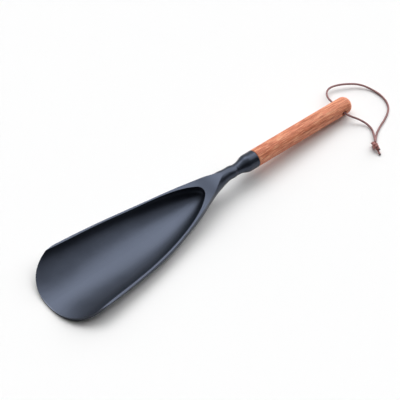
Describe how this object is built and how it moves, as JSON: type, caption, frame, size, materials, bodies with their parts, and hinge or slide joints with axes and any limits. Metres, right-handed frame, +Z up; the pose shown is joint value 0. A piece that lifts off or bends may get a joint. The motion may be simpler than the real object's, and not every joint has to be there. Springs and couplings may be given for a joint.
{
  "type": "long shoehorn",
  "caption": "Long shoehorn: wide cast scoop with a round neck and collar, turned wooden handle and a knotted leather hanging loop.",
  "frame": {"origin": "middle of the object's base: halfway between the scoop's tip and the handle's free end, on the mid-plane, at the height of the surface it lies on", "axes": "+X from the scoop's tip to the handle's free end, +Z up out of the scoop's hollow, +Y across the scoop"},
  "size_m": [0.3394, 0.0896, 0.023],
  "materials": {
    "coated_metal": "satin",
    "wood": "oiled",
    "steel": "plain",
    "leather_lace": "satin"
  },
  "bodies": {
    "shoehorn": {"shoehorn_casting": "coated_metal", "wood_handle": "wood", "joining_stud": "steel"},
    "hang_loop": {"lace_front_leg": "leather_lace", "lace_rear_leg": "leather_lace", "lace_knot": "leather_lace", "lace_long_tail": "leather_lace", "lace_short_tail": "leather_lace"}
  },
  "joints": [
    {"name": "loop_swing", "type": "hinge", "parent": "shoehorn", "child": "hang_loop", "pos_m": [0.14323, 0, 0.00768], "axis": [0, 1, 0], "range_deg": [-155, 155]}
  ]
}
